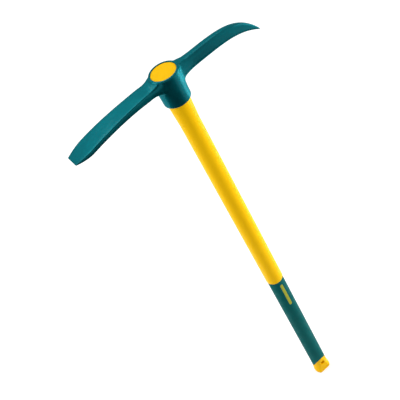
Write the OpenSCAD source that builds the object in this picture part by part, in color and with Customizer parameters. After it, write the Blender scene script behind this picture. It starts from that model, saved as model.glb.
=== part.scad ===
// Pick axe with a forged head on a layered glass-fibre handle.
// The handle stands along Z with its butt on Z = 0, the pointed arm reaches along +X,
// the chisel arm along -X, and the hanging hole runs along Y.

/* [Whole tool] */
// Length from the butt to the top of the eye
overall_length = 1050; // [950:10:1200]

/* [Eye of the head] */
// Height of the eye along the handle
eye_height = 66; // [54:1:76]
// Steel around the bore of the eye
eye_wall = 4.4; // [2.4:0.1:6]
// Rounding of the eye's lower rim
eye_foot_round = 1.6; // [0.8:0.1:2.2]
// Rounding of the eye's upper rim
eye_rim_round = 1.4; // [0.6:0.1:2]
// Depth of the handle's end below the upper rim
handle_recess = 1; // [0.5:0.1:3]

/* [Chisel arm] */
// Reach of the chisel edge from the handle's axis
chisel_reach = 221; // [190:0.5:250]
// Depth of the arm's top below the eye's top, where it meets the eye
chisel_root_drop = 2.8; // [1.5:0.1:4]
// Depth of the arm's top below the eye's top, next to its root
chisel_top_drop = 5.8; // [4.5:0.1:9]
// Depth of the edge's top below the eye's top
chisel_edge_drop = 28.6; // [15:0.1:45]
// Length over which the arm swells into the eye
chisel_root_length = 13; // [9:0.5:30]
// Swelling of each side of the arm at the eye
chisel_root_side = 2.7; // [1:0.1:6]
// Width of the arm next to its root
chisel_root_w = 37.8; // [30:0.1:40]
// Width of the blade at its broadest
chisel_blade_w = 47.5; // [41:0.5:55]
// Width of the sharpened edge
chisel_edge_w = 32.5; // [22:0.5:38]
// Length of the drawn-in end behind the edge
chisel_end_length = 35; // [25:1:45]
// Thickness of the arm at the eye
chisel_root_t = 20.6; // [15:0.1:24]
// Thickness of the blade
chisel_blade_t = 9; // [6:0.25:11]
// Thickness left at the edge
chisel_edge_t = 1.6; // [1:0.1:3]
// Rounding along the arm's edges
chisel_edge_round = 4.5; // [1:0.1:6]

/* [Pointed arm] */
// Reach of the point from the handle's axis
point_reach = 203; // [170:0.5:230]
// Depth of the arm's top below the eye's top, where it meets the eye
point_root_drop = 0.8; // [0.5:0.1:2]
// Depth of the arm's top below the eye's top, next to its root
point_top_drop = 4.2; // [2.5:0.1:7]
// Upward bow of the arm's top on the way to the bend
point_crown = 2.4; // [0:0.1:3]
// Depth of the point below the eye's top
point_tip_drop = 61; // [40:0.5:75]
// Length over which the arm swells into the eye
point_root_length = 30; // [20:1:60]
// Swelling of each side of the arm at the eye
point_root_side = 4.5; // [1:0.1:6]
// Depth of the arm from top to underside
point_root_t = 26.4; // [19:0.1:30]
// Width of the arm next to its root
point_root_w = 21.3; // [16:0.1:26]
// Thickness and width left at the point
point_tip_t = 2.6; // [1.5:0.1:4]
// Rounding along the arm's edges
point_edge_round = 8; // [2:0.1:9]

/* [Handle core] */
// Outer diameter of the glass-fibre tube
core_d = 26; // [23:0.5:28]
// Wall of the glass-fibre tube
core_wall = 3; // [2:0.25:5]
// Reach of a core plug into the tube
plug_depth = 28; // [15:1:45]
// Thickness of a core plug's flange
plug_flange = 3; // [2:0.5:6]

/* [Handle sheath] */
// Foam between the tube and the sheath under the grip
foam_wall = 1.4; // [1:0.1:3]
// Sheath wall under the grip
seat_wall = 2.5; // [2:0.1:3.5]
// Sheath wall above the grip
sheath_wall = 3; // [2:0.1:3.5]
// Height by which the bare sheath stands out past the grip
grip_step = 0.95; // [0.6:0.05:2]
// Length of the cone at the head end
flare_length = 123; // [100:1:150]
// Growth in radius along the cone
flare_rise = 4.8; // [4.2:0.1:8]
// Thickness of the disc that closes the head end
disc_t = 5; // [3:0.5:8]
// Length of the disc's spigot in the sheath
disc_spigot = 18; // [10:1:30]

/* [Grip] */
// Height of the grip's upper edge above the butt
grip_top = 415; // [340:1:480]
// Wall of the elastomer grip
grip_wall = 2; // [1.5:0.1:3]
// Rounding of the grip's upper edge
grip_edge_round = 0.8; // [0.3:0.1:1.2]
// Length of the plain bar let into the grip
inlay_length = 80; // [50:1:110]
// Width of the bar
inlay_w = 7; // [3:0.5:8]
// Depth of the bar
inlay_t = 0.8; // [0.5:0.1:1.2]
// Distance from the grip's upper edge to the bar
inlay_setback = 14; // [8:1:40]

/* [End cap] */
// Growth in radius of the cap past the grip
cap_flare = 1.95; // [1:0.05:2.2]
// Height of the broadest part of the cap
cap_bulge_height = 6; // [4:0.5:14]
// Rounding of the cap's lower rim
cap_round = 3; // [1.5:0.25:4]
// Height of the hanging hole above the butt
hole_height = 37.5; // [32:0.5:46]
// Diameter of the hanging hole
hole_d = 11; // [6:0.5:13]
// Chamfer round the hanging hole
hole_chamfer = 1.25; // [0.5:0.05:1.5]
// Height of the feet of the arch that parts the cap from the grip
arch_foot = 27; // [22:1:32]
// Height of the arch from its feet to its top
arch_height = 33; // [26:1:42]
// Rim of the cap's arch outside the grip's radius
arch_margin = 0.2; // [0.1:0.05:1.5]
// Thickness of the cap from front to back at the butt
cap_foot_t = 28; // [22:0.5:34]
// Distance from the top of the arch to the top of the flats
flat_setback = 4; // [2:0.5:8]
// Height of the cap's shoulder above the arch
shoulder_rise = 4; // [2:0.5:10]
// Length of the cap's spigot in the sheath
cap_spigot = 30; // [20:1:50]

/* [Clearances] */
// Gap between the head and the handle's cone
seat_gap = 0.2; // [0.1:0.05:0.4]
// Gap between pieces that are bonded together
bond_gap = 0.05; // [0.02:0.01:0.1]

/* [Hidden] */
$fn = 96;

// How far a cut runs past what it cuts
overrun = 1;

// Layers of the handle, from the axis outwards
core_r = core_d / 2;
core_bore_r = core_r - core_wall;
foam_in_r = core_r + bond_gap;
foam_seat_r = foam_in_r + foam_wall;
seat_bore_r = foam_seat_r + bond_gap;
seat_r = seat_bore_r + seat_wall;
grip_bore_r = seat_r + bond_gap;
grip_r = grip_bore_r + grip_wall;
sheath_r = grip_r + grip_step;
cap_r = grip_r + cap_flare;

// Heights along the handle, from the butt upwards
arch_r = grip_r + arch_margin;
arch_top = arch_foot + arch_height;
flat_top = arch_top - flat_setback;
shoulder_z = arch_top + shoulder_rise;
spigot_z = shoulder_z + cap_spigot;
core_z = spigot_z + bond_gap + plug_flange + bond_gap;
handle_top = overall_length - handle_recess;
flare_z = handle_top - flare_length;
sheath_top = handle_top - disc_t;
disc_foot = sheath_top - disc_spigot;
core_top = disc_foot - bond_gap - plug_flange - bond_gap;
inlay_z = grip_top - inlay_setback - inlay_length / 2;
eye_foot = overall_length - eye_height;

// Outline shares of the arms, along their reach
chisel_drop_power = 2.45;
chisel_thin_power = 2.4;
chisel_end_power = 1.6;
blade_start_share = 0.18;
point_crown_power = 2;
point_bend_power = 6.3;
point_thin_power = 8.5;
point_taper_power = 3.9;
root_power = 2;
arm_start_share = 0.5;
corner_limit_share = 0.42;
corner_steps = 3;
arm_steps = 26;
rim_steps = 4;

// Radius of the handle's cone, and of the eye's bore around it, at a height
function flare_radius(z) = sheath_r + flare_rise * (z - flare_z) / flare_length;
function bore_radius(z) = flare_radius(z) + seat_gap;
function eye_radius(z) = bore_radius(z) + eye_wall;

// Even step from 0 to 1 with level ends
function ease(u) = let (v = min(max(u, 0), 1)) v * v * (3 - 2 * v);
// Swelling from 1 at the eye to 0 where the arm runs free
function swell(x, length) =
    pow(1 - min(max((x - eye_radius(overall_length)) / length, 0), 1), root_power);
// Share of the drawn-in chisel end that a distance has passed
function end_share(x) = max((x - chisel_reach + chisel_end_length) / chisel_end_length, 0);

// Chisel arm: swelling of its top, depth of its top, thickness and width at a distance from the axis
function chisel_rise(x) = (chisel_top_drop - chisel_root_drop) * swell(x, chisel_root_length);
function chisel_drop(x) = chisel_top_drop - chisel_rise(x)
    + (chisel_edge_drop - chisel_top_drop) * pow(x / chisel_reach, chisel_drop_power);
function chisel_body_t(x) = chisel_blade_t
    + (chisel_root_t - chisel_blade_t) * pow(1 - x / chisel_reach, chisel_thin_power);
function chisel_t(x) = chisel_body_t(x) + 2 * chisel_rise(x)
    - (chisel_body_t(x) - chisel_edge_t) * pow(end_share(x), chisel_end_power);
function chisel_body_w(x) = chisel_root_w + (chisel_blade_w - chisel_root_w)
    * ease((x / chisel_reach - blade_start_share)
        / (1 - chisel_end_length / chisel_reach - blade_start_share));
function chisel_w(x) = chisel_body_w(x) + 2 * chisel_root_side * swell(x, chisel_root_length)
    - (chisel_blade_w - chisel_edge_w) * pow(end_share(x), chisel_end_power);

// Pointed arm: swelling of its top, depth of its top, thickness and width at a distance from the axis
function point_rise(x) = (point_top_drop - point_root_drop) * swell(x, point_root_length);
function point_drop(x) = point_top_drop - point_rise(x)
    - point_crown * pow(x / point_reach, point_crown_power)
    + (point_tip_drop - point_tip_t - point_top_drop + point_crown)
        * pow(x / point_reach, point_bend_power);
function point_t(x) = point_root_t + 2 * point_rise(x)
    - (point_root_t - point_tip_t) * pow(x / point_reach, point_thin_power);
function point_w(x) = point_root_w + 2 * point_root_side * swell(x, point_root_length)
    - (point_root_w - point_tip_t) * pow(x / point_reach, point_taper_power);

// Points round a quarter circle
function corner(y, z, r, turn) = [
    for (k = [0 : corner_steps])
        let (a = turn + 90 * k / corner_steps)
        [y + r * cos(a), z + r * sin(a)]
];
// Section of an arm: a rectangle with rounded corners
function section(w, t, top, edge_round) =
    let (
        r = min(edge_round, w * corner_limit_share, t * corner_limit_share),
        y = w / 2 - r,
        high = top - r,
        low = top - t + r
    )
    concat(corner(y, high, r, 0), corner(-y, high, r, 90), corner(-y, low, r, 180), corner(y, low, r, 270));

// Solid skinned over sections that stand at growing distances along X
module skin(places, sections) {
    n = len(sections[0]);
    last = len(places) - 1;
    points = [for (k = [0 : last]) for (p = sections[k]) [places[k], p[0], p[1]]];
    walls = [
        for (k = [0 : last - 1]) for (i = [0 : n - 1])
            let (j = (i + 1) % n, a = k * n, b = a + n)
            each [[a + i, b + i, b + j], [a + i, b + j, a + j]]
    ];
    ends = [[for (i = [0 : n - 1]) i], [for (i = [n - 1 : -1 : 0]) last * n + i]];
    polyhedron(points = points, faces = concat(walls, ends));
}

// Stations along an arm, closer together towards its end
function stations(reach) = [
    for (k = [0 : arm_steps])
        let (start = arm_start_share * eye_radius(eye_foot), u = sin(90 * k / arm_steps))
        start + (reach - start) * u
];

module chisel_arm() {
    places = stations(chisel_reach);
    sections = [
        for (x = places)
            section(chisel_w(x), chisel_t(x), overall_length - chisel_drop(x), chisel_edge_round)
    ];
    mirror([1, 0, 0])
        skin(places, sections);
}

module point_arm() {
    places = stations(point_reach);
    sections = [
        for (x = places)
            section(point_w(x), point_t(x), overall_length - point_drop(x), point_edge_round)
    ];
    skin(places, sections);
}

// Outline of the eye from the axis out, with rounded rims
module eye_profile() {
    foot = eye_radius(eye_foot) - eye_foot_round;
    rim = eye_radius(overall_length) - eye_rim_round;
    foot_arc = [
        for (k = [0 : rim_steps])
            let (a = -90 + 90 * k / rim_steps)
            [foot + eye_foot_round * cos(a), eye_foot + eye_foot_round * (1 + sin(a))]
    ];
    rim_arc = [
        for (k = [0 : rim_steps])
            let (a = 90 * k / rim_steps)
            [rim + eye_rim_round * cos(a), overall_length - eye_rim_round * (1 - sin(a))]
    ];
    polygon(concat([[0, eye_foot]], foot_arc, rim_arc, [[0, overall_length]]));
}

// Cone of the eye's bore
module eye_bore() {
    low = eye_foot - overrun;
    high = overall_length + overrun;
    translate([0, 0, low])
        cylinder(h = high - low, r1 = bore_radius(low), r2 = bore_radius(high));
}

module pick_head() {
    color([0.05, 0.42, 0.45])
        difference() {
            union() {
                rotate_extrude() eye_profile();
                chisel_arm();
                point_arm();
            }
            eye_bore();
        }
}

// Outer and inner outlines of the sheath meet the grip's seat, the bare length and the cone
module handle_sheath() {
    seat_top = grip_top - bond_gap;
    bore_step = seat_top - sheath_wall;
    color([1, 0.8, 0.05])
        rotate_extrude()
            polygon([
                [seat_bore_r, shoulder_z + bond_gap],
                [seat_r, shoulder_z + bond_gap],
                [seat_r, seat_top],
                [sheath_r, seat_top],
                [sheath_r, flare_z],
                [flare_radius(sheath_top), sheath_top],
                [flare_radius(sheath_top) - sheath_wall, sheath_top],
                [sheath_r - sheath_wall, flare_z],
                [sheath_r - sheath_wall, grip_top + sheath_wall],
                [seat_bore_r, bore_step]
            ]);
}

// Disc that closes the head end, with a spigot in the sheath's cone
module head_end_disc() {
    foot_r = flare_radius(disc_foot) - sheath_wall - bond_gap;
    neck_r = flare_radius(sheath_top) - sheath_wall - bond_gap;
    color([1, 0.76, 0.06])
        rotate_extrude()
            polygon([
                [0, disc_foot],
                [foot_r, disc_foot],
                [neck_r, sheath_top + bond_gap],
                [flare_radius(sheath_top), sheath_top + bond_gap],
                [flare_radius(handle_top), handle_top],
                [0, handle_top]
            ]);
}

// Foam that fills the space between the tube and the sheath
module damping_foam() {
    wall = sheath_wall + bond_gap;
    top = disc_foot - bond_gap;
    bore_step = grip_top - bond_gap - sheath_wall;
    color([0.93, 0.9, 0.78])
        rotate_extrude()
            polygon([
                [foam_in_r, spigot_z + bond_gap],
                [foam_seat_r, spigot_z + bond_gap],
                [foam_seat_r, bore_step],
                [sheath_r - wall, grip_top + sheath_wall],
                [sheath_r - wall, flare_z],
                [flare_radius(top) - wall, top],
                [foam_in_r, top]
            ]);
}

// Glass-fibre tube that carries the blow
module core_tube() {
    color([0.8, 0.82, 0.68])
        translate([0, 0, core_z])
            difference() {
                cylinder(h = core_top - core_z, r = core_r);
                translate([0, 0, -overrun])
                    cylinder(h = core_top - core_z + 2 * overrun, r = core_bore_r);
            }
}

// Plug that seals one end of the tube, with its flange below the stem
module core_plug() {
    translate([0, 0, -plug_flange - bond_gap])
        cylinder(h = plug_flange, r = core_r);
    translate([0, 0, -plug_flange - bond_gap])
        cylinder(h = plug_depth + plug_flange, r = core_bore_r - bond_gap);
}

module core_plug_head() {
    color([0.16, 0.16, 0.17])
        translate([0, 0, core_top])
            mirror([0, 0, 1])
                core_plug();
}

module core_plug_butt() {
    color([0.16, 0.16, 0.17])
        translate([0, 0, core_z])
            core_plug();
}

// Arch round the hanging hole, seen along Y, out to a chosen gap
module arch(gap) {
    half = cap_r + 2 * overrun;
    rotate([90, 0, 0])
        linear_extrude(height = 2 * half, center = true)
            union() {
                translate([0, arch_foot])
                    scale([arch_r + gap, arch_height + gap])
                        circle(r = 1);
                translate([-half, -overrun])
                    square([2 * half, arch_foot + overrun]);
            }
}

// Bar with round ends on the grip's front, from one radius out to another
module inlay(r_in, r_out, gap) {
    half_run = (inlay_length - inlay_w) / 2;
    intersection() {
        difference() {
            translate([0, 0, inlay_z - inlay_length / 2 - overrun])
                cylinder(h = inlay_length + 2 * overrun, r = r_out);
            translate([0, 0, inlay_z - inlay_length / 2 - 2 * overrun])
                cylinder(h = inlay_length + 4 * overrun, r = r_in);
        }
        translate([0, 0, inlay_z])
            rotate([90, 0, 0])
                linear_extrude(height = r_out + overrun)
                    union() {
                        square([inlay_w + 2 * gap, 2 * half_run], center = true);
                        for (end = [-1, 1])
                            translate([0, end * half_run])
                                circle(r = inlay_w / 2 + gap);
                    }
    }
}

module grip_sleeve() {
    edge = grip_r - grip_edge_round;
    color([0.07, 0.33, 0.32])
        difference() {
            rotate_extrude()
                polygon(concat(
                    [[grip_bore_r, arch_foot], [grip_r, arch_foot]],
                    [
                        for (k = [0 : rim_steps])
                            let (a = 90 * k / rim_steps)
                            [edge + grip_edge_round * cos(a),
                             grip_top - 2 * bond_gap - grip_edge_round * (1 - sin(a))]
                    ],
                    [[grip_bore_r, grip_top - 2 * bond_gap]]
                ));
            arch(bond_gap);
            inlay(grip_r - inlay_t - bond_gap, grip_r + overrun, bond_gap);
        }
}

module grip_inlay() {
    color([0.95, 0.8, 0.15])
        inlay(grip_r - inlay_t, grip_r, 0);
}

// Outline of the cap: rounded foot, cone up to the grip's radius, and the spigot
module cap_profile() {
    foot_arc = [
        for (k = [0 : 2 * rim_steps])
            let (a = -90 + 90 * k / (2 * rim_steps))
            [cap_r - cap_round + cap_round * cos(a), cap_round * (1 + sin(a))]
    ];
    waist = [[cap_r, cap_bulge_height], [grip_r, arch_foot], [grip_r, shoulder_z]];
    spigot_r = seat_bore_r - bond_gap;
    spigot = [[spigot_r, shoulder_z], [spigot_r, spigot_z], [0, spigot_z]];
    polygon(concat([[0, 0]], foot_arc, waist, spigot));
}

// Room that the grip's lower end takes on the cap, above the arch
module grip_room() {
    low = arch_foot - overrun;
    high = shoulder_z + overrun;
    difference() {
        translate([0, 0, low])
            cylinder(h = high - low, r = cap_r + overrun);
        translate([0, 0, low - overrun])
            cylinder(h = high - low + 2 * overrun, r = seat_r);
        arch(0);
    }
}

// Room in front of the cap's flat front, which leans in towards the butt
module flat_room() {
    lean = atan((grip_r - cap_foot_t / 2) / flat_top);
    half = cap_r + overrun;
    reach = flat_top / cos(lean) + half;
    translate([0, -grip_r, flat_top])
        rotate([lean, 0, 0])
            translate([-half, -half, -reach])
                cube([2 * half, half, reach + half]);
}

// Hanging hole along Y, with a chamfer at each mouth
module hang_hole() {
    mouth = cap_foot_t / 2 + (grip_r - cap_foot_t / 2) * hole_height / flat_top;
    translate([0, 0, hole_height])
        rotate([90, 0, 0]) {
            cylinder(h = 2 * (cap_r + overrun), d = hole_d, center = true);
            for (side = [0, 1])
                mirror([0, 0, side])
                    translate([0, 0, mouth - hole_chamfer])
                        cylinder(h = hole_chamfer + overrun, d1 = hole_d,
                            d2 = hole_d + 2 * (hole_chamfer + overrun));
        }
}

module end_cap() {
    color([1, 0.8, 0.05])
        difference() {
            rotate_extrude() cap_profile();
            grip_room();
            for (side = [0, 180])
                rotate([0, 0, side])
                    flat_room();
            hang_hole();
        }
}

pick_head();
handle_sheath();
head_end_disc();
damping_foam();
core_tube();
core_plug_head();
core_plug_butt();
grip_sleeve();
grip_inlay();
end_cap();
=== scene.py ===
"""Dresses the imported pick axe: modelled pieces, finishes, studio and camera, in metres."""

import logging
import math
from abc import ABC, abstractmethod
from contextlib import contextmanager
from dataclasses import dataclass, field
from enum import Enum
from typing import Callable, Iterator

import bmesh
import bpy
from mathutils import Matrix, Vector


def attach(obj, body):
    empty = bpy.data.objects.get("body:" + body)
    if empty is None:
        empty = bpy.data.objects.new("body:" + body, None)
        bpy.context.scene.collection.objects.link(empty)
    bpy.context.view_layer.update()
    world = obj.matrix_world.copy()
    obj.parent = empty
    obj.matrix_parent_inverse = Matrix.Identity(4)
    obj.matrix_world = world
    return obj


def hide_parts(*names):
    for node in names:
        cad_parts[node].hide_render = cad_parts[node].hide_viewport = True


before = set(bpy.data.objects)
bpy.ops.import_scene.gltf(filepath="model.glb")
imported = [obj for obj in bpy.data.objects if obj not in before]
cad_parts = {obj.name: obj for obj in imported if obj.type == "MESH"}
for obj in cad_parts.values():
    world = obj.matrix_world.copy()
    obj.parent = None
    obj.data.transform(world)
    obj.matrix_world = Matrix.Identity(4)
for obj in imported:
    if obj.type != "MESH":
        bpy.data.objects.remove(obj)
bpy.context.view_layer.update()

LOG = logging.getLogger("pick_axe")
FULL_TURN = 2.0 * math.pi
QUARTER_TURN = 0.5 * math.pi

Piece = bpy.types.Object
Socket = bpy.types.NodeSocket
Colour = tuple[float, float, float]
Span = tuple[float, float]
Outline = list[tuple[float, float]]

# Mesh work: how near points are one point, and how far a tool reaches past what it cuts
MERGE = 1e-6
FINE_MERGE = 1e-7
OVERRUN = 0.001

# Patterns in the finishes: finer layers of a noise, and the spans that are read or given
SMOOTH = 2.0
CLOUDY = 4.0
STREAKY = 5.0
SOFT_SPAN: Span = (0.35, 0.65)
BROAD_SPAN: Span = (0.3, 0.7)
FULL_SPAN: Span = (0.0, 1.0)

# Plain colours of the studio and of an untinted gleam
WHITE: Colour = (1.0, 1.0, 1.0)
BLACK: Colour = (0.0, 0.0, 0.0)


class Body(str, Enum):
    """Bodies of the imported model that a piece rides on."""

    HANDLE = "handle"
    HEAD = "head"


class Slot(str, Enum):
    """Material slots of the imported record."""

    HEAD = "head_paint"
    SHEATH = "sheath_plastic"
    DISC = "disc_plastic"
    FOAM = "foam"
    FIBRE = "glass_fibre"
    PLUG = "plug_plastic"
    GRIP = "grip_elastomer"
    INLAY = "inlay_elastomer"
    CAP = "cap_plastic"


class Bench:
    """Hand work on one mesh at a time, through Blender's own operators."""

    @staticmethod
    def clear() -> None:
        """Leaves edit mode and deselects every object."""
        if bpy.context.object and bpy.context.object.mode != "OBJECT":
            bpy.ops.object.mode_set(mode="OBJECT")
        bpy.ops.object.select_all(action="DESELECT")

    @staticmethod
    def pick(obj: Piece, *others: Piece) -> None:
        """Selects objects, and no others.

        Args:
            obj: The object that becomes the active one.
            others: Objects that are selected beside it.
        """
        Bench.clear()
        for each in (obj, *others):
            each.select_set(True)
        bpy.context.view_layer.objects.active = obj

    @staticmethod
    @contextmanager
    def edit(obj: Piece) -> Iterator[None]:
        """Holds obj in edit mode with all of it selected, and leaves it in object mode.

        Args:
            obj: The mesh object to work on.

        Returns:
            A context, with nothing to hold, for the work in edit mode.
        """
        Bench.pick(obj)
        bpy.ops.object.mode_set(mode="EDIT")
        bpy.ops.mesh.select_mode(type="VERT")
        bpy.ops.mesh.select_all(action="SELECT")
        yield
        bpy.ops.object.mode_set(mode="OBJECT")

    @staticmethod
    def choose_points(obj: Piece, test: Callable[[Vector], bool]) -> None:
        """Selects, in edit mode, the points whose place passes a test.

        Args:
            obj: The mesh object in edit mode.
            test: Takes a point's place and says whether it is chosen.
        """
        bpy.ops.mesh.select_all(action="DESELECT")
        mesh = bmesh.from_edit_mesh(obj.data)
        for point in mesh.verts:
            point.select_set(test(point.co))
        mesh.select_flush(True)
        bmesh.update_edit_mesh(obj.data)

    @staticmethod
    def add(name: str, shape: Callable[..., object], **settings: object) -> Piece:
        """Adds a basic shape and bakes its place into its mesh.

        Args:
            name: The name of the object and its mesh.
            shape: Blender's operator that adds the shape.
            settings: The operator's settings, such as sizes and the place.

        Returns:
            The object, at the origin.
        """
        Bench.clear()
        shape(**settings)
        obj = bpy.context.object
        obj.name = name
        obj.data.name = name
        Bench.pick(obj)
        bpy.ops.object.transform_apply(location=True, rotation=True, scale=True)
        return obj

    @staticmethod
    def apply(obj: Piece, kind: str, **settings: object) -> None:
        """Adds a modifier and applies it at once.

        Args:
            obj: The object that takes the modifier.
            kind: Blender's name for the modifier's type.
            settings: Values for the modifier's own properties.
        """
        Bench.pick(obj)
        modifier = obj.modifiers.new(kind.lower(), kind)
        for key, value in settings.items():
            setattr(modifier, key, value)
        bpy.ops.object.modifier_apply(modifier=modifier.name)

    @staticmethod
    def cut(obj: Piece, tool: Piece, operation: str = "DIFFERENCE") -> None:
        """Joins, cuts or trims obj with a tool, which is then removed.

        Args:
            obj: The object that stays.
            tool: The object that shapes it.
            operation: Blender's name for the boolean operation.
        """
        Bench.apply(obj, "BOOLEAN", object=tool, operation=operation, solver="EXACT")
        bpy.data.objects.remove(tool)

    @staticmethod
    def tidy(obj: Piece, merge: float = MERGE) -> None:
        """Merges doubles and turns all faces outwards.

        Args:
            obj: The mesh object to tidy.
            merge: How near two points are merged.
        """
        with Bench.edit(obj):
            bpy.ops.mesh.remove_doubles(threshold=merge)
            bpy.ops.mesh.normals_make_consistent(inside=False)

    @staticmethod
    def finished(obj: Piece, degrees: float = 35.0) -> Piece:
        """Tidies a piece and shades it smooth.

        Args:
            obj: The piece.
            degrees: Angle past which an edge stays sharp.

        Returns:
            The same piece.
        """
        Bench.tidy(obj)
        Bench.pick(obj)
        bpy.ops.object.shade_smooth_by_angle(angle=math.radians(degrees))
        return obj

    @staticmethod
    def soften(obj: Piece, test: Callable[[Vector], bool], rounds: int, pull: float = 0.5) -> None:
        """Evens out the surface where the points pass a test.

        Args:
            obj: The dense mesh to even out.
            test: Takes a point's place and says whether it may move.
            rounds: How many times each point moves.
            pull: Share of the way to its neighbours' mean that it moves each time.
        """
        with Bench.edit(obj):
            Bench.choose_points(obj, test)
            bpy.ops.mesh.vertices_smooth(factor=pull, repeat=rounds)

    @staticmethod
    def turned(name: str, outline: Outline, steps: int = 128) -> Piece:
        """Spins a closed outline round the handle's axis.

        Args:
            name: The name of the new object.
            outline: Radius and height of each corner, in order.
            steps: How many steps the full turn has.

        Returns:
            The turned object.
        """
        obj = Bench.add(name, bpy.ops.mesh.primitive_plane_add, size=1.0)
        start = Vector((outline[0][0], 0.0, outline[0][1]))
        with Bench.edit(obj):
            bpy.ops.mesh.merge(type="CENTER")
            bpy.ops.transform.translate(value=start)
            last = start
            for radius, height in outline[1:]:
                place = Vector((radius, 0.0, height))
                bpy.ops.mesh.extrude_vertices_move(TRANSFORM_OT_translate={"value": place - last})
                last = place
            ends = (start, last)
            Bench.choose_points(obj, lambda at: min((at - end).length for end in ends) < FINE_MERGE)
            bpy.ops.mesh.edge_face_add()
            bpy.ops.mesh.select_all(action="SELECT")
            bpy.ops.mesh.spin(steps=steps, angle=FULL_TURN, center=(0, 0, 0), axis=(0, 0, 1))
        Bench.tidy(obj)
        return obj


def arc(centre: tuple[float, float], radius: float, start: float, end: float, steps: int = 6) -> Outline:
    """Points along a circular arc in an outline.

    Args:
        centre: Radius and height of the arc's centre.
        radius: Radius of the arc.
        start: Angle of its first point, in degrees from straight outwards.
        end: Angle of its last point.
        steps: How many steps the arc has.

    Returns:
        The arc's points, in order.
    """
    angles = [math.radians(start + (end - start) * k / steps) for k in range(steps + 1)]
    return [(centre[0] + radius * math.cos(a), centre[1] + radius * math.sin(a)) for a in angles]


def rgba(colour: Colour) -> tuple[float, float, float, float]:
    """A colour with full cover, as a node's socket takes it."""
    return (*colour, 1.0)


class NodeSheet:
    """One material's node tree, with short words for adding and joining nodes."""

    # Sockets of the Mix node for colours, whose names repeat
    MIX_SHARE = 0
    MIX_FIRST = 6
    MIX_SECOND = 7
    MIX_RESULT = 2

    def __init__(self, name: str) -> None:
        """Starts a tree with its output and the place of each point.

        Args:
            name: The name of the material.
        """
        self.material = bpy.data.materials.new(name)
        self.material.use_nodes = True
        self.tree = self.material.node_tree
        self.tree.nodes.clear()
        self.output = self.tree.nodes.new("ShaderNodeOutputMaterial")
        self.place = self.tree.nodes.new("ShaderNodeTexCoord").outputs["Object"]

    def add(self, kind: str, inputs: dict | None = None, **settings: object) -> bpy.types.Node:
        """Adds a node.

        Args:
            kind: The node's type, without its common first word.
            inputs: Values or sockets for its inputs, by name or number.
            settings: Values for the node's own properties.

        Returns:
            The new node.
        """
        node = self.tree.nodes.new("ShaderNode" + kind)
        for key, value in settings.items():
            setattr(node, key, value)
        for key, value in (inputs or {}).items():
            if isinstance(value, Socket):
                self.tree.links.new(value, node.inputs[key])
            else:
                node.inputs[key].default_value = value
        return node

    def noise(self, size: float, detail: float = 3.0, stretch: float = 1.0) -> Socket:
        """Cloudy values from 0 to 1.

        Args:
            size: Size of one cloud, in metres.
            detail: How many finer layers lie on it.
            stretch: Scale of the pattern along the handle, which below 1 draws it out.

        Returns:
            The value's socket.
        """
        place = self.place
        if stretch != 1.0:
            place = self.add("Mapping", {"Vector": place, "Scale": (1.0, 1.0, stretch)}).outputs["Vector"]
        node = self.add("TexNoise", {"Vector": place, "Scale": 1.0 / size, "Detail": detail})
        return node.outputs["Fac"]

    def ramp(self, value: Socket, read: Span, give: Span = FULL_SPAN) -> Socket:
        """Maps a span of a value evenly onto another span.

        Args:
            value: The socket to map.
            read: Start and end of the span that is read.
            give: Values at its start and end.

        Returns:
            The mapped value's socket.
        """
        node = self.add("MapRange", {"Value": value, "From Min": read[0], "From Max": read[1],
                                     "To Min": give[0], "To Max": give[1]})
        return node.outputs["Result"]

    def blend(self, share: Socket, first: object, second: object) -> Socket:
        """Mixes two colours by a share.

        Args:
            share: Socket with the share of the second colour.
            first: A colour or a socket.
            second: A colour or a socket.

        Returns:
            The mixed colour's socket.
        """
        ends = [each if isinstance(each, Socket) else rgba(each) for each in (first, second)]
        inputs = {self.MIX_SHARE: share, self.MIX_FIRST: ends[0], self.MIX_SECOND: ends[1]}
        return self.add("Mix", inputs, data_type="RGBA").outputs[self.MIX_RESULT]

    def bump(self, height: Socket, depth: float, strength: float, over: Socket | None = None) -> Socket:
        """Relief in the surface's normal.

        Args:
            height: Socket with heights from 0 to 1.
            depth: What a height of 1 stands for, in metres.
            strength: Share of the relief that is used.
            over: Normal of a relief that lies beneath.

        Returns:
            The normal's socket.
        """
        inputs = {"Height": height, "Distance": depth, "Strength": strength}
        if over is not None:
            inputs["Normal"] = over
        return self.add("Bump", inputs).outputs["Normal"]

    def surface(self, shader: bpy.types.Node) -> bpy.types.Material:
        """Joins a shader to the output and gives the finished material."""
        self.tree.links.new(shader.outputs[0], self.output.inputs["Surface"])
        return self.material

    def shade(self, **inputs: object) -> bpy.types.Material:
        """Gives the material the full shader, whose inputs have underscores for spaces."""
        named = {key.replace("_", " "): value for key, value in inputs.items()}
        return self.surface(self.add("BsdfPrincipled", named))


@dataclass(frozen=True)
class Finish(ABC):
    """What a piece's surface is made of: two near colours, its gloss and its relief."""

    name: str
    colour: Colour
    deep: Colour
    roughness: float = 0.4
    smoother: float = 0.05
    rougher: float = 0.08
    relief: float = 0.5

    @abstractmethod
    def material(self) -> bpy.types.Material:
        """Builds the finish's material."""

    def body(self, sheet: NodeSheet, value: Socket, read: Span) -> Socket:
        """Goes from the deep colour to the full one over a span of a value."""
        return sheet.blend(sheet.ramp(value, read), self.deep, self.colour)

    def gloss(self, sheet: NodeSheet, value: Socket) -> Socket:
        """Goes from smoother to rougher patches with a value."""
        return sheet.ramp(value, BROAD_SPAN, (self.roughness - self.smoother, self.roughness + self.rougher))


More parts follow.
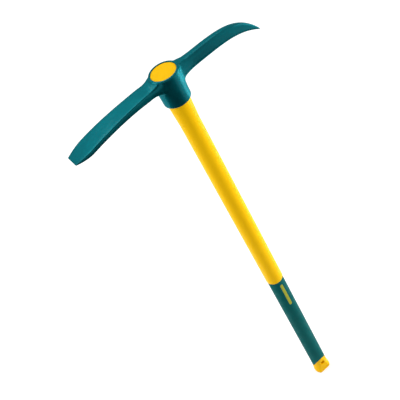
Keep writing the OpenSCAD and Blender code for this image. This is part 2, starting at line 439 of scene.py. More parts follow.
@dataclass(frozen=True)
class ForgedEnamel(Finish):
    """Enamel over the uneven skin of a forging, thin along its edges, under a little varnish."""

    name: str = "forged_enamel"
    colour: Colour = (0.0015, 0.0935, 0.109)
    deep: Colour = (0.0012, 0.0775, 0.0935)
    roughness: float = 0.38
    rougher: float = 0.07
    edge: Colour = (0.006, 0.115, 0.13)
    gleam: Colour = (0.4, 0.92, 1.0)
    flake: float = 0.75
    specular: float = 0.0
    varnish: float = 0.07
    varnish_roughness: float = 0.1
    cloud_size: float = 0.05
    sheen_size: float = 0.012
    edge_span: Span = (0.53, 0.62)
    rub_size: float = 0.006
    rub_span: Span = (0.4, 0.65)
    lump_size: float = 0.016
    lump_depth: float = 0.0006
    peel_size: float = 0.0016
    peel_depth: float = 0.00006

    def material(self) -> bpy.types.Material:
        """Builds the enamel with forging lumps, orange peel and thin edges.

        Returns:
            The enamel.
        """
        sheet = NodeSheet(self.name)
        body = self.body(sheet, sheet.noise(self.cloud_size, CLOUDY), SOFT_SPAN)
        sharp = sheet.ramp(sheet.add("NewGeometry").outputs["Pointiness"], self.edge_span)
        patchy = sheet.ramp(sheet.noise(self.rub_size), self.rub_span)
        rub = sheet.add("Math", {0: sharp, 1: patchy}, operation="MULTIPLY").outputs[0]
        gloss = self.gloss(sheet, sheet.noise(self.sheen_size, CLOUDY))
        lumps = sheet.bump(sheet.noise(self.lump_size, SMOOTH), self.lump_depth, self.relief)
        peel = sheet.bump(sheet.noise(self.peel_size, SMOOTH), self.peel_depth, self.relief, lumps)
        return sheet.shade(Base_Color=sheet.blend(rub, body, self.edge), Metallic=self.flake, Roughness=gloss,
                           Normal=peel, Specular_IOR_Level=self.specular, Specular_Tint=rgba(self.gleam),
                           Coat_Weight=self.varnish, Coat_Roughness=self.varnish_roughness, Coat_Normal=lumps)


@dataclass(frozen=True)
class MouldedPlastic(Finish):
    """Satin moulded plastic with faint flow marks and rubbed patches."""

    gleam: Colour = (1.0, 0.65, 0.05)
    specular: float = 0.05
    flow_size: float = 0.03
    flow_stretch: float = 0.12
    rub_size: float = 0.004
    rub_stretch: float = 0.25
    grain_size: float = 0.0009
    grain_depth: float = 0.00004

    def material(self) -> bpy.types.Material:
        """Builds the plastic with its flow marks and grain.

        Returns:
            The plastic.
        """
        sheet = NodeSheet(self.name)
        body = self.body(sheet, sheet.noise(self.flow_size, stretch=self.flow_stretch), SOFT_SPAN)
        gloss = self.gloss(sheet, sheet.noise(self.rub_size, STREAKY, self.rub_stretch))
        grain = sheet.bump(sheet.noise(self.grain_size, SMOOTH), self.grain_depth, self.relief)
        return sheet.shade(Base_Color=body, Roughness=gloss, Normal=grain,
                           Specular_IOR_Level=self.specular, Specular_Tint=rgba(self.gleam))


@dataclass(frozen=True)
class SoftElastomer(Finish):
    """Matt elastomer with a pebbled skin."""

    roughness: float = 0.62
    smoother: float = 0.08
    rougher: float = 0.1
    relief: float = 0.6
    gleam: Colour = (0.1, 0.95, 0.9)
    specular: float = 0.08
    wear_size: float = 0.035
    wear_span: Span = (0.35, 0.68)
    sheen_size: float = 0.02
    pebble_size: float = 0.0011
    pebble_depth: float = 0.00012

    def material(self) -> bpy.types.Material:
        """Builds the elastomer with pebbles and handling marks.

        Returns:
            The elastomer.
        """
        sheet = NodeSheet(self.name)
        body = self.body(sheet, sheet.noise(self.wear_size, CLOUDY), self.wear_span)
        gloss = self.gloss(sheet, sheet.noise(self.sheen_size, STREAKY))
        pebble = sheet.add("TexVoronoi", {"Vector": sheet.place, "Scale": 1.0 / self.pebble_size},
                           feature="SMOOTH_F1")
        skin = sheet.bump(pebble.outputs["Distance"], -self.pebble_depth, self.relief)
        return sheet.shade(Base_Color=body, Roughness=gloss, Normal=skin,
                           Specular_IOR_Level=self.specular, Specular_Tint=rgba(self.gleam))


@dataclass(frozen=True)
class DrawnFibre(Finish):
    """Glass fibres drawn along the handle in resin."""

    name: str = "drawn_glass_fibre"
    colour: Colour = (0.66, 0.68, 0.48)
    deep: Colour = (0.46, 0.5, 0.3)
    roughness: float = 0.45
    smoother: float = 0.1
    rougher: float = 0.1
    relief: float = 0.6
    strand_size: float = 0.0009
    strand_stretch: float = 0.01
    strand_depth: float = 0.00005

    def material(self) -> bpy.types.Material:
        """Builds the laminate with its long fibres.

        Returns:
            The laminate.
        """
        sheet = NodeSheet(self.name)
        strand = sheet.noise(self.strand_size, stretch=self.strand_stretch)
        body = self.body(sheet, strand, BROAD_SPAN)
        return sheet.shade(Base_Color=body, Roughness=self.gloss(sheet, strand),
                           Normal=sheet.bump(strand, self.strand_depth, self.relief))


@dataclass(frozen=True)
class ClosedFoam(Finish):
    """Foam of small closed cells."""

    name: str = "closed_cell_foam"
    colour: Colour = (0.85, 0.8, 0.62)
    deep: Colour = (0.66, 0.6, 0.42)
    roughness: float = 0.85
    smoother: float = 0.1
    rougher: float = 0.05
    relief: float = 0.7
    patch_size: float = 0.01
    cell_size: float = 0.0012
    cell_depth: float = 0.0003
    wall_span: Span = (0.1, 0.6)

    def material(self) -> bpy.types.Material:
        """Builds the foam with its cells.

        Returns:
            The foam.
        """
        sheet = NodeSheet(self.name)
        cell = sheet.add("TexVoronoi", {"Vector": sheet.place, "Scale": 1.0 / self.cell_size})
        wall = cell.outputs["Distance"]
        return sheet.shade(Base_Color=self.body(sheet, wall, self.wall_span),
                           Roughness=self.gloss(sheet, sheet.noise(self.patch_size)),
                           Normal=sheet.bump(wall, self.cell_depth, self.relief))


@dataclass(frozen=True)
class HandleLine:
    """Radii and heights of the tool that its pieces share."""

    tool_top: float = 1.05
    top: float = 1.049
    flare_length: float = 0.123
    flare_rise: float = 0.0048
    radius: float = 0.020
    wall: float = 0.003
    disc_depth: float = 0.005
    disc_spigot: float = 0.018
    seat_bore: float = 0.0145
    seat_radius: float = 0.017
    grip_bore: float = 0.01705
    grip_radius: float = 0.01905
    grip_top: float = 0.415
    shoulder: float = 0.064
    spigot_top: float = 0.094
    arch_foot: float = 0.027
    arch_height: float = 0.033
    arch_half: float = 0.01925
    arch_cut: float = 0.1
    arch_steps: int = 192
    bond: float = 0.00005

    @property
    def flare_foot(self) -> float:
        """Height where the cone begins."""
        return self.top - self.flare_length

    @property
    def sheath_top(self) -> float:
        """Height of the sheath's upper end."""
        return self.top - self.disc_depth

    def cone(self, height: float) -> float:
        """Radius of the cone at a height."""
        return self.radius + self.flare_rise * (height - self.flare_foot) / self.flare_length

    def arch(self, gap: float) -> Piece:
        """Makes the tool that parts the grip from the cap, an oval arch along Y.

        Args:
            gap: Room added all round the arch.

        Returns:
            The arch's solid, whole below its feet too.
        """
        arch = Bench.add("arch", bpy.ops.mesh.primitive_cylinder_add, vertices=self.arch_steps, radius=1.0,
                         depth=self.arch_cut, rotation=(QUARTER_TURN, 0, 0))
        with Bench.edit(arch):
            size = (self.arch_half + gap, 1.0, self.arch_height + gap)
            bpy.ops.transform.resize(value=size, center_override=(0, 0, 0))
            bpy.ops.transform.translate(value=(0, 0, self.arch_foot))
        return arch


LINE = HandleLine()


def paint(obj: Piece, finish: Finish) -> None:
    """Gives a piece a finish as its one material."""
    obj.data.materials.clear()
    obj.data.materials.append(finish.material())


def hand_over(obj: Piece, finish: Finish, body: Body, slot: Slot, *nodes: str) -> None:
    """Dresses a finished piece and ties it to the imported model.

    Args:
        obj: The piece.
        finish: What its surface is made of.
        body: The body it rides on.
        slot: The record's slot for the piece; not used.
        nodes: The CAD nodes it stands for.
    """
    paint(obj, finish)
    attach(obj, body.value)
    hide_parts(*nodes)
    LOG.info("%s: %d faces, stands for %s", obj.name, len(obj.data.polygons), ", ".join(nodes))


@dataclass
class Arm(ABC):
    """One arm of the head, drawn out from the eye through stations."""

    reach: float
    side: int
    name: str
    root_drop: float
    top_drop: float
    root_length: float
    root_side: float
    edge_round: float
    top: float = LINE.tool_top
    start: float = 0.01343
    eye_radius: float = 0.02944
    corner_limit: float = 0.42
    corner_steps: int = 6
    steps: int = 44

    @abstractmethod
    def drop(self, out: float) -> float:
        """Depth of the arm's top below the eye's top, at a distance from the axis."""

    @abstractmethod
    def depth(self, out: float) -> float:
        """Depth of the arm from top to underside."""

    @abstractmethod
    def width(self, out: float) -> float:
        """Width of the arm."""

    def swell(self, out: float) -> float:
        """Swelling from 1 at the eye to 0 where the arm runs free."""
        return (1.0 - min(max((out - self.eye_radius) / self.root_length, 0.0), 1.0)) ** 2

    def rise(self, out: float) -> float:
        """Swelling of the arm's top and underside at a distance from the axis."""
        return (self.top_drop - self.root_drop) * self.swell(out)

    def middle(self, out: float) -> Vector:
        """Centre of the arm's section at a distance from the axis."""
        return Vector((self.side * out, 0.0, self.top - self.drop(out) - self.depth(out) / 2))

    def build(self) -> Piece:
        """Extrudes a rounded section from the eye out to the arm's end.

        Returns:
            The arm, as a closed mesh.
        """
        out = self.start
        obj = Bench.add(self.name, bpy.ops.mesh.primitive_plane_add, size=1.0, rotation=(0, QUARTER_TURN, 0))
        with Bench.edit(obj):
            bpy.ops.transform.resize(value=(1.0, self.width(out), self.depth(out)), center_override=(0, 0, 0))
            corner = min(self.edge_round, self.corner_limit * self.width(out))
            bpy.ops.mesh.bevel(offset=corner, segments=self.corner_steps, affect="VERTICES")
            bpy.ops.transform.translate(value=self.middle(out))
            for k in range(1, self.steps + 1):
                place = self.start + (self.reach - self.start) * math.sin(QUARTER_TURN * k / self.steps)
                move = self.middle(place) - self.middle(out)
                grow = (1.0, self.width(place) / self.width(out), self.depth(place) / self.depth(out))
                bpy.ops.mesh.extrude_region_move(TRANSFORM_OT_translate={"value": move})
                bpy.ops.transform.resize(value=grow, center_override=self.middle(place))
                out = place
        Bench.tidy(obj, FINE_MERGE)
        return obj


@dataclass
class ChiselArm(Arm):
    """Broad arm that ends in a cutting edge."""

    reach: float = 0.221
    side: int = -1
    name: str = "chisel_arm"
    root_drop: float = 0.0028
    top_drop: float = 0.0058
    root_length: float = 0.013
    root_side: float = 0.0027
    edge_round: float = 0.0045
    edge_drop: float = 0.0286
    root_width: float = 0.0378
    blade_width: float = 0.0475
    edge_width: float = 0.0325
    end_length: float = 0.035
    root_depth: float = 0.0206
    blade_depth: float = 0.009
    edge_depth: float = 0.0016
    drop_power: float = 2.45
    thin_power: float = 2.4
    end_power: float = 1.6
    blade_start: float = 0.18

    def end_share(self, out: float) -> float:
        """Share of the drawn-in end that a distance has passed."""
        return max((out - self.reach + self.end_length) / self.end_length, 0.0) ** self.end_power

    def drop(self, out: float) -> float:
        """Depth of the top, which bows down towards the edge."""
        bow = (self.edge_drop - self.top_drop) * (out / self.reach) ** self.drop_power
        return self.top_drop - self.rise(out) + bow

    def depth(self, out: float) -> float:
        """Depth of the arm, which thins to the blade and then to the edge.

        Args:
            out: Distance from the handle's axis.

        Returns:
            The depth there.
        """
        thin = max(1.0 - out / self.reach, 0.0) ** self.thin_power
        body = self.blade_depth + (self.root_depth - self.blade_depth) * thin
        return body + 2 * self.rise(out) - (body - self.edge_depth) * self.end_share(out)

    def width(self, out: float) -> float:
        """Width of the arm, which spreads to the blade and draws in at the edge.

        Args:
            out: Distance from the handle's axis.

        Returns:
            The width there.
        """
        run = 1.0 - self.end_length / self.reach - self.blade_start
        share = min(max((out / self.reach - self.blade_start) / run, 0.0), 1.0)
        body = self.root_width + (self.blade_width - self.root_width) * share * share * (3 - 2 * share)
        draw = (self.blade_width - self.edge_width) * self.end_share(out)
        return body + 2 * self.root_side * self.swell(out) - draw


@dataclass
class PointedArm(Arm):
    """Slim arm that bends down to a point."""

    reach: float = 0.203
    side: int = 1
    name: str = "pointed_arm"
    root_drop: float = 0.0008
    top_drop: float = 0.0042
    root_length: float = 0.030
    root_side: float = 0.0045
    edge_round: float = 0.0095
    crown: float = 0.0024
    tip_drop: float = 0.061
    root_depth: float = 0.0264
    root_width: float = 0.0213
    tip: float = 0.0026
    bend_power: float = 6.3
    thin_power: float = 8.5
    taper_power: float = 3.9

    def drop(self, out: float) -> float:
        """Depth of the top, which bows up a little and bends down near the point.

        Args:
            out: Distance from the handle's axis.

        Returns:
            How far it lies below the eye's top there.
        """
        share = out / self.reach
        bend = (self.tip_drop - self.tip - self.top_drop + self.crown) * share ** self.bend_power
        return self.top_drop - self.rise(out) - self.crown * share ** 2 + bend

    def depth(self, out: float) -> float:
        """Depth of the arm, which holds almost to the point."""
        thin = (self.root_depth - self.tip) * (out / self.reach) ** self.thin_power
        return self.root_depth + 2 * self.rise(out) - thin

    def width(self, out: float) -> float:
        """Width of the arm, which tapers over its length."""
        taper = (self.root_width - self.tip) * (out / self.reach) ** self.taper_power
        return self.root_width + 2 * self.root_side * self.swell(out) - taper


@dataclass
class PickHead:
    """The forged head: eye, chisel arm and pointed arm in one piece."""

    chisel: ChiselArm = field(default_factory=ChiselArm)
    point: PointedArm = field(default_factory=PointedArm)
    top: float = LINE.tool_top
    eye_height: float = 0.066
    eye_wall: float = 0.0044
    seat_gap: float = 0.0002
    foot_round: float = 0.0016
    rim_round: float = 0.0014
    mouth: float = 0.0005
    eye_steps: int = 160
    rim_steps: int = 4
    skin: float = 0.0009
    skin_rounds: int = 6
    root_start: float = 0.012
    root_low: float = 0.006
    root_high: float = 0.063
    root_reaches: tuple[float, ...] = (0.036, 0.039, 0.042, 0.045, 0.049, 0.053)
    root_rounds: int = 20

    @property
    def eye_foot(self) -> float:
        """Height of the eye's lower rim."""
        return self.top - self.eye_height

    def bore(self, height: float) -> float:
        """Radius of the eye's bore at a height."""
        return LINE.cone(height) + self.seat_gap

    def build_cone(self, name: str, wall: float) -> Piece:
        """Makes a solid cone as high as the eye.

        Args:
            name: The name of the new object.
            wall: How far it stands outside the bore.

        Returns:
            The cone.
        """
        low, high = (self.bore(height) + wall for height in (self.eye_foot, self.top))
        return Bench.add(name, bpy.ops.mesh.primitive_cone_add, vertices=self.eye_steps, radius1=low,
                         radius2=high, depth=self.eye_height, location=(0, 0, self.top - self.eye_height / 2))

    def build_eye(self) -> Piece:
        """Makes the eye's solid cone with rounded rims.

        Returns:
            The eye, before its bore.
        """
        eye = self.build_cone("eye", self.eye_wall)
        for height, size in ((self.top, self.rim_round), (self.eye_foot, self.foot_round)):
            with Bench.edit(eye):
                Bench.choose_points(eye, lambda at: abs(at.z - height) < MERGE)
                bpy.ops.mesh.bevel(offset=size, segments=self.rim_steps, affect="EDGES")
        return eye

    def build_bore(self) -> Piece:
        """Makes the tool that cuts the bore, flared at both mouths.

        Returns:
            The bore's solid.
        """
        bore = self.build_cone("bore", 0.0)
        for height, away in ((self.top, 1), (self.eye_foot, -1)):
            flare = (0, 0, 2 * away * self.mouth)
            wide = 1.0 + 2 * self.mouth / self.bore(height)
            with Bench.edit(bore):
                Bench.choose_points(bore, lambda at: abs(at.z - height) < MERGE)
                bpy.ops.transform.translate(value=(0, 0, -away * self.mouth))
                bpy.ops.mesh.extrude_region_move(TRANSFORM_OT_translate={"value": flare})
                bpy.ops.transform.resize(value=(wide, wide, 1.0), center_override=(0, 0, height))
        Bench.tidy(bore)
        return bore

    def at_root(self, at: Vector, reach: float) -> bool:
        """Whether a point lies where an arm runs into the eye, within a reach and clear of the rims."""
        level = self.root_low < at.z - self.eye_foot < self.root_high
        return abs(at.x) > self.root_start and math.hypot(at.x, at.y) < reach and level

    def build(self) -> Piece:
        """Joins the eye and the arms into one forging and cuts its bore.

        Returns:
            The head.
        """
        eye, chisel, point = self.build_eye(), self.chisel.build(), self.point.build()
        Bench.pick(eye, chisel, point)
        bpy.ops.object.join()
        eye.name = eye.data.name = "head_forging"
        Bench.apply(eye, "REMESH", mode="VOXEL", voxel_size=self.skin)
        for reach in self.root_reaches:
            Bench.soften(eye, lambda at: self.at_root(at, reach), self.root_rounds)
        Bench.soften(eye, lambda at: True, self.skin_rounds)
        Bench.cut(eye, self.build_bore())
        return Bench.finished(eye)

    def dress(self, head: Piece) -> None:
        """Paints the head and ties it to its body."""
        hand_over(head, ForgedEnamel(), Body.HEAD, Slot.HEAD, "pick_head")


@dataclass
class LayeredHandle:
    """Sheath and disc of the handle, and the layers inside it."""

    edge: float = 0.0005
    disc_rim: float = 0.002
    disc_roughness: float = 0.42
    yellow: Colour = (0.97, 0.56, 0.003)
    deep_yellow: Colour = (0.94, 0.53, 0.002)
    plug: Finish = MouldedPlastic("plug_black", (0.03, 0.03, 0.032), (0.02, 0.02, 0.022), 0.5, gleam=WHITE)

    def build_sheath(self) -> Piece:
        """Turns the sheath, with the grip's seat below and the cone above.

        Returns:
            The sheath.
        """
        seat_top = LINE.grip_top - LINE.bond
        top_radius = LINE.cone(LINE.sheath_top)
        outline = [(LINE.seat_bore, LINE.shoulder + LINE.bond), (LINE.seat_radius, LINE.shoulder + LINE.bond),
                   (LINE.seat_radius, seat_top)]
        outline += arc((LINE.radius - self.edge, seat_top + self.edge), self.edge, -90, 0)
        outline += [(LINE.radius, 0.5 * (seat_top + LINE.flare_foot)), (LINE.radius, LINE.flare_foot)]
        outline += [(top_radius, LINE.sheath_top), (top_radius - LINE.wall, LINE.sheath_top),
                    (LINE.radius - LINE.wall, LINE.flare_foot),
                    (LINE.radius - LINE.wall, LINE.grip_top + LINE.wall),
                    (LINE.seat_bore, seat_top - LINE.wall)]
        return Bench.finished(Bench.turned("handle_shell", outline))

    def build_disc(self) -> Piece:
        """Turns the disc that closes the head end, with its spigot.

        Returns:
            The disc.
        """
        foot = LINE.sheath_top - LINE.disc_spigot
        inset = LINE.wall + LINE.bond
        rim = LINE.cone(LINE.top) - self.edge
        outline = [(0.0, foot), (LINE.cone(foot) - inset, foot),
                   (LINE.cone(LINE.sheath_top) - inset, LINE.sheath_top + LINE.bond),
                   (LINE.cone(LINE.sheath_top), LINE.sheath_top + LINE.bond)]
        outline += arc((rim, LINE.top - self.edge), self.edge, 0, 90)
        outline += [(rim - self.disc_rim, LINE.top), (0.0, LINE.top)]
        return Bench.finished(Bench.turned("top_disc", outline))

    def dress(self, sheath: Piece, disc: Piece) -> None:
        """Gives the sheath and the disc their plastic, and the hidden layers their own finishes.

        Args:
            sheath: The turned sheath.
            disc: The turned disc.
        """
        plastic = MouldedPlastic("sheath_yellow", self.yellow, self.deep_yellow)
        hand_over(sheath, plastic, Body.HANDLE, Slot.SHEATH, "handle_sheath")
        top = MouldedPlastic("disc_yellow", self.yellow, self.deep_yellow, self.disc_roughness)
        hand_over(disc, top, Body.HANDLE, Slot.DISC, "head_end_disc")
        inner = {"core_tube": (DrawnFibre(), Slot.FIBRE), "damping_foam": (ClosedFoam(), Slot.FOAM),
                 "core_plug_head": (self.plug, Slot.PLUG), "core_plug_butt": (self.plug, Slot.PLUG)}
        for name, (finish, slot) in inner.items():
            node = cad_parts[name]
            paint(node, finish)
            LOG.info("%s: kept from CAD, %s", name, finish.name)


@dataclass
class SoftGrip:
    """Elastomer sleeve on the lower handle, with a plain bar let into its front."""

    edge: float = 0.0008
    inlay_length: float = 0.080
    inlay_width: float = 0.007
    inlay_depth: float = 0.0008
    inlay_setback: float = 0.014
    end_share: float = 0.499
    end_steps: int = 12
    bar_steps: int = 256
    sleeve_steps: int = 192
    green: Finish = SoftElastomer("grip_green", (0.003, 0.107, 0.106), (0.002, 0.09, 0.089))
    yellow: Finish = SoftElastomer("bar_yellow", (0.42, 0.42, 0.045), (0.36, 0.37, 0.04),
                                   gleam=(0.9, 0.9, 0.3))

    @property
    def inlay_middle(self) -> float:
        """Height of the bar's centre."""
        return LINE.grip_top - self.inlay_setback - self.inlay_length / 2

    def build_bar(self, name: str, inner: float, outer: float, gap: float) -> Piece:
        """Makes a bar with round ends that follows the grip's front.

        Args:
            name: The name of the new object.
            inner: Radius of the bar's inner face.
            outer: Radius of its outer face.
            gap: Room added all round its outline.

        Returns:
            The bar.
        """
        half = self.inlay_length / 2 + gap
        low, high = (self.inlay_middle + end * (half + 2 * OVERRUN) for end in (-1, 1))
        ring = Bench.turned(name, [(inner, low), (outer, low), (outer, high), (inner, high)], self.bar_steps)
        stencil = Bench.add("bar_outline", bpy.ops.mesh.primitive_plane_add, size=1.0,
                            rotation=(QUARTER_TURN, 0, 0))
        width = self.inlay_width + 2 * gap
        with Bench.edit(stencil):
            bpy.ops.transform.resize(value=(width, 1.0, 2 * half), center_override=(0, 0, 0))
            bpy.ops.mesh.bevel(offset=self.end_share * width, segments=self.end_steps, affect="VERTICES")
            bpy.ops.transform.translate(value=(0, -OVERRUN, self.inlay_middle))
            bpy.ops.mesh.extrude_region_move(TRANSFORM_OT_translate={"value": (0, -2 * outer, 0)})
        Bench.tidy(stencil)
        Bench.cut(ring, stencil, "INTERSECT")
        return ring

    def build_sleeve(self) -> Piece:
        """Turns the sleeve, cuts its arch over the cap and its pocket for the bar.

        Returns:
            The sleeve.
        """
        top = LINE.grip_top - 2 * LINE.bond
        low = LINE.arch_foot
        outline = [(LINE.grip_bore, low), (LINE.grip_radius, low), (LINE.grip_radius, self.inlay_middle)]
        outline += arc((LINE.grip_radius - self.edge, top - self.edge), self.edge, 0, 90)
        outline += [(LINE.grip_bore, top)]
        sleeve = Bench.turned("grip_skin", outline, self.sleeve_steps)
        Bench.cut(sleeve, LINE.arch(LINE.bond))
        pocket = self.build_bar("pocket", LINE.grip_radius - self.inlay_depth - LINE.bond,
                                LINE.grip_radius + OVERRUN, LINE.bond)
        Bench.cut(sleeve, pocket)
        return Bench.finished(sleeve)

    def build_inlay(self) -> Piece:
        """Makes the plain bar, flush with the grip's skin.

        Returns:
            The bar.
        """
        inner = LINE.grip_radius - self.inlay_depth
        return Bench.finished(self.build_bar("grip_bar", inner, LINE.grip_radius, 0.0))

    def dress(self, sleeve: Piece, bar: Piece) -> None:
        """Gives the sleeve and the bar their elastomers."""
        hand_over(sleeve, self.green, Body.HANDLE, Slot.GRIP, "grip_sleeve")
        hand_over(bar, self.yellow, Body.HANDLE, Slot.INLAY, "grip_inlay")


@dataclass
class EndCap:
    """Cap at the butt: rounded foot, leaning flats, arch and hanging hole."""

    radius: float = 0.021
    bulge: float = 0.006
    foot_round: float = 0.003
    foot_depth: float = 0.028
    hole_height: float = 0.0375
    hole_radius: float = 0.0055
    hole_chamfer: float = 0.00125
    hole_steps: int = 64
    flat_setback: float = 0.004
    skin: float = 0.0005
    skin_rounds: int = 5
    still_foot: float = 0.0004
    still_shoulder: float = 0.0005
    plastic: Finish = MouldedPlastic("cap_yellow", (0.95, 0.53, 0.003), (0.92, 0.5, 0.002), 0.42)

    @property
    def flat_top(self) -> float:
        """Height where the flats meet the cap's round side."""
        return LINE.arch_foot + LINE.arch_height - self.flat_setback

    def build(self) -> Piece:
        """Turns the cap and cuts its flats, arch and hole.

        Returns:
            The cap.
        """
        spigot = LINE.seat_bore - LINE.bond
        outline = [(0.0, 0.0)]
        outline += arc((self.radius - self.foot_round, self.foot_round), self.foot_round, -90, 0)
        outline += [(self.radius, self.bulge), (LINE.grip_radius, LINE.arch_foot),
                    (LINE.grip_radius, LINE.shoulder), (spigot, LINE.shoulder), (spigot, LINE.spigot_top),
                    (0.0, LINE.spigot_top)]
        cap = Bench.turned("butt_cap", outline)
        self.cut_grip_room(cap)
        for side in (-1, 1):
            self.cut_flat(cap, side)
        self.cut_hole(cap)
        Bench.apply(cap, "REMESH", mode="VOXEL", voxel_size=self.skin)
        low, high = self.still_foot, LINE.shoulder - self.still_shoulder
        Bench.soften(cap, lambda at: low < at.z < high, self.skin_rounds)
        return Bench.finished(cap)

    def cut_grip_room(self, cap: Piece) -> None:
        """Takes away what the grip's lower end covers, above the arch.

        Args:
            cap: The cap as cut so far.
        """
        low, high = LINE.arch_foot, LINE.shoulder + OVERRUN
        outer = self.radius + 2 * OVERRUN
        room = Bench.turned("grip_room", [(LINE.seat_radius, low), (outer, low), (outer, high),
                                          (LINE.seat_radius, high)])
        Bench.cut(room, LINE.arch(0.0))
        Bench.cut(cap, room)

    def cut_flat(self, cap: Piece, side: int) -> None:
        """Cuts one leaning flat and fills it.

        Args:
            cap: The cap as cut so far.
            side: 1 for the flat at the back, -1 for the one at the front.
        """
        lean = math.atan((LINE.grip_radius - self.foot_depth / 2) / self.flat_top)
        with Bench.edit(cap):
            bpy.ops.mesh.bisect(plane_co=(0, side * LINE.grip_radius, self.flat_top),
                                plane_no=(0, side * math.cos(lean), -math.sin(lean)),
                                use_fill=True, clear_outer=True)

    def cut_hole(self, cap: Piece) -> None:
        """Cuts the hanging hole with a chamfer at each mouth.

        Args:
            cap: The cap as cut so far.
        """
        share = self.hole_height / self.flat_top
        mouth = self.foot_depth / 2 + (LINE.grip_radius - self.foot_depth / 2) * share
        hole = Bench.add("hole", bpy.ops.mesh.primitive_cylinder_add, vertices=self.hole_steps,
                         radius=self.hole_radius, depth=2 * (mouth - self.hole_chamfer),
                         location=(0, 0, self.hole_height), rotation=(QUARTER_TURN, 0, 0))
        spread = 2 * self.hole_chamfer
        wide = 1.0 + spread / self.hole_radius
        for away in (-1, 1):
            with Bench.edit(hole):
                Bench.choose_points(hole, lambda at: at.y * away > 0)
                bpy.ops.mesh.extrude_region_move(TRANSFORM_OT_translate={"value": (0, away * spread, 0)})
                bpy.ops.transform.resize(value=(wide, 1.0, wide), center_override=(0, 0, self.hole_height))
        Bench.tidy(hole)
        Bench.cut(cap, hole)

    def dress(self, cap: Piece) -> None:
        """Gives the cap its plastic."""
        hand_over(cap, self.plastic, Body.HANDLE, Slot.CAP, "end_cap")


@dataclass(frozen=True)
class PhotoCamera:
    """Camera that looks at the tool as the photograph does."""

    lens_mm: float = 72.0
    sensor_mm: float = 36.0
    frame_px: float = 400.0
    elevation: float = math.radians(34.0)
    turn: float = math.radians(17.0)
    distance: float = 1.40855
    far_clip: float = 200.0
    top_mark: tuple[float, float] = (162.9, 71.4)
    butt_mark: tuple[float, float] = (322.0, 365.8)

    def ray(self, mark: tuple[float, float]) -> Vector:
        """Direction from the lens to a place in the picture, in the camera's own axes.

        Args:
            mark: The place, counted in pixels to the right and down.

        Returns:
            The direction, with a length of 1.
        """
        half = self.frame_px / 2
        depth = self.frame_px * self.lens_mm / self.sensor_mm
        return Vector((mark[0] - half, half - mark[1], -depth)).normalized()

    @staticmethod
    def axes(first: Vector, second: Vector) -> Matrix:
        """Square axes with the first along one ray and the second towards another."""
        across = first.cross(second).normalized()
        return Matrix((first, across.cross(first), across)).transposed()

    def place(self) -> None:
        """Adds the camera so that the tool's top and butt fall on their marks."""
        top = Vector((0.0, 0.0, LINE.tool_top))
        level = math.cos(self.elevation)
        back = Vector((-math.sin(self.turn) * level, -math.cos(self.turn) * level, math.sin(self.elevation)))
        spot = top + back * self.distance
        seen = self.axes((top - spot).normalized(), (-spot).normalized())
        drawn = self.axes(self.ray(self.top_mark), self.ray(self.butt_mark))
        Bench.clear()
        bpy.ops.object.camera_add(location=spot)
        camera = bpy.context.object
        camera.name = "photo_camera"
        camera.matrix_world = Matrix.Translation(spot) @ (seen @ drawn.transposed()).to_4x4()
        camera.data.lens = self.lens_mm
        camera.data.sensor_width = self.sensor_mm
        camera.data.clip_end = self.far_clip
        bpy.context.scene.camera = camera


class Lit(Enum):
    """Surfaces that a lamp lights."""

    ALL = "all"
    MATT = "matt"
    GLOSS = "gloss"


@dataclass(frozen=True)
class Softbox:
    """One soft studio lamp, placed round the tool by its bearing from the camera."""

    name: str
    bearing: float
    distance: float
    height: float
    aim: float
    size: tuple[float, float]
    power: float
    lit: Lit = Lit.ALL

    def light(self, turn: float) -> None:
        """Adds the lamp, turned to its aim on the handle's axis.

        Args:
            turn: The camera's own bearing, from which the lamp's is counted to the right.
        """
        angle = math.radians(self.bearing) - turn
        place = Vector((self.distance * math.sin(angle), -self.distance * math.cos(angle), self.height))
        Bench.clear()
        bpy.ops.object.light_add(type="AREA", location=place)
        lamp = bpy.context.object
        lamp.name = self.name
        lamp.data.shape = "RECTANGLE"
        lamp.data.size, lamp.data.size_y = self.size
        lamp.data.energy = self.power
        lamp.visible_camera = False
        lamp.visible_glossy = self.lit is not Lit.MATT
        lamp.visible_diffuse = self.lit is not Lit.GLOSS
        lamp.rotation_euler = (Vector((0.0, 0.0, self.aim)) - place).to_track_quat("-Z", "Y").to_euler()


def seeing_rays(tree: bpy.types.NodeTree) -> Socket:
    """Adds nodes that tell the rays that see the studio from those that carry its light.

    Args:
        tree: The node tree of a material or a world.

    Returns:
        A socket with 1 for rays from the camera, from reflections and through glass, and else 0.
    """
    path = tree.nodes.new("ShaderNodeLightPath").outputs
    seeing = path["Is Camera Ray"]
    for kind in ("Is Glossy Ray", "Is Transmission Ray"):
        either = tree.nodes.new("ShaderNodeMath")
        either.operation = "MAXIMUM"
        tree.links.new(seeing, either.inputs[0])
        tree.links.new(path[kind], either.inputs[1])
        seeing = either.outputs[0]
    return seeing


@dataclass(frozen=True)
class DarkCard:
    """Level card on the camera's side of the tool, which only reflections show."""

    name: str
    middle: tuple[float, float]
    size: tuple[float, float]
    height: float
    colour: Colour = BLACK

    def lay(self, turn: float) -> None:
        """Adds the card, so that the head's front has something dark to reflect.

        Args:
            turn: The camera's own bearing, with which the card turns.
        """
        card = Bench.add(self.name, bpy.ops.mesh.primitive_plane_add, size=1.0)
        with Bench.edit(card):
            bpy.ops.transform.resize(value=(*self.size, 1.0), center_override=(0, 0, 0))
            bpy.ops.transform.translate(value=(*self.middle, self.height))
            bpy.ops.transform.rotate(value=turn, orient_axis="Z", center_override=(0, 0, 0))
        sheet = NodeSheet(self.name)
        cloth = sheet.add("BsdfDiffuse", {"Color": rgba(self.colour)})
        card.data.materials.append(sheet.surface(cloth))
        for sight in ("camera", "diffuse", "shadow", "transmission"):
            setattr(card, "visible_" + sight, False)


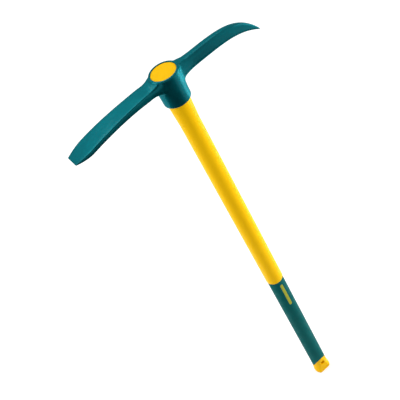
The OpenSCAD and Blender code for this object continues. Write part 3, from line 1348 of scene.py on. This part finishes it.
@dataclass
class Studio:
    """Pale floor, even sky and soft lamps, with dark cards that only reflections show."""

    turn: float = PhotoCamera.turn
    ambient: float = 0.5
    backdrop: float = 1.0
    floor_size: float = 60.0
    floor_colour: Colour = (0.6, 0.6, 0.6)
    near_glow: float = 0.5
    far_glow: float = 0.8
    glow_reach: float = 2.5
    cards: tuple[DarkCard, ...] = (
        DarkCard("floor_card", (-0.35, -1.16), (2.5, 2.08), 0.004),
        DarkCard("roof_card", (-0.35, -1.35), (1.7, 2.5), 2.6),
    )
    lamps: tuple[Softbox, ...] = (
        Softbox("back_top", 180.0, 1.15, 2.65, 1.0, (1.6, 1.0), 10.5),
        Softbox("back_left_top", -140.0, 1.15, 2.6, 1.0, (1.2, 1.0), 9.8),
        Softbox("left_strip", -94.0, 1.5, 0.95, 0.8, (0.5, 1.6), 20.5),
        Softbox("right_front_strip", 60.0, 1.5, 0.8, 0.6, (0.5, 1.6), 9.8, Lit.MATT),
        Softbox("right_strip", 85.0, 1.5, 0.8, 0.6, (0.5, 1.6), 7.5),
        Softbox("right_gleam", 85.0, 1.5, 0.8, 0.6, (0.5, 1.6), 10.0, Lit.GLOSS),
        Softbox("right_back_strip", 108.0, 1.5, 0.8, 0.6, (0.2, 1.6), 7.0),
        Softbox("right_low", 108.0, 1.2, 0.3, 0.9, (0.5, 0.6), 4.1),
    )

    def build_floor(self) -> None:
        """Lays the floor, white to the camera and in reflections, with the tool's shadow on it."""
        floor = Bench.add("studio_floor", bpy.ops.mesh.primitive_plane_add, size=self.floor_size)
        sheet = NodeSheet("studio_floor")
        away = sheet.add("VectorMath", {0: sheet.place}, operation="LENGTH").outputs["Value"]
        level = sheet.ramp(away, (0.0, self.glow_reach), (self.near_glow, self.far_glow))
        glow = sheet.add("Emission", {"Color": rgba(WHITE), "Strength": level})
        paper = sheet.add("BsdfDiffuse", {"Color": rgba(self.floor_colour)})
        both = sheet.add("AddShader", {0: glow.outputs[0], 1: paper.outputs[0]})
        mixed = sheet.add("MixShader", {0: seeing_rays(sheet.tree), 1: paper.outputs[0], 2: both.outputs[0]})
        floor.data.materials.append(sheet.surface(mixed))

    def build_world(self) -> None:
        """Sets an even, dim light from all round, white to the camera and in reflections."""
        world = bpy.data.worlds.new("studio_world")
        world.use_nodes = True
        tree = world.node_tree
        sky = tree.nodes["Background"]
        sky.inputs["Color"].default_value = rgba(WHITE)
        level = tree.nodes.new("ShaderNodeMapRange")
        level.inputs["To Min"].default_value = self.ambient
        level.inputs["To Max"].default_value = self.backdrop
        tree.links.new(seeing_rays(tree), level.inputs["Value"])
        tree.links.new(level.outputs["Result"], sky.inputs["Strength"])
        bpy.context.scene.world = world

    def build(self) -> None:
        """Sets up the whole studio."""
        self.build_floor()
        self.build_world()
        for card in self.cards:
            card.lay(self.turn)
        for lamp in self.lamps:
            lamp.light(self.turn)
        bpy.context.scene.view_settings.view_transform = "Standard"


def main() -> None:
    """Builds the pieces, the studio and the camera in order."""
    logging.basicConfig(level=logging.INFO, format="%(name)s %(message)s")
    PhotoCamera().place()
    head = PickHead()
    head.dress(head.build())
    handle = LayeredHandle()
    handle.dress(handle.build_sheath(), handle.build_disc())
    grip = SoftGrip()
    grip.dress(grip.build_sleeve(), grip.build_inlay())
    cap = EndCap()
    cap.dress(cap.build())
    Studio().build()
    Bench.clear()


if __name__ == "__main__":
    main()
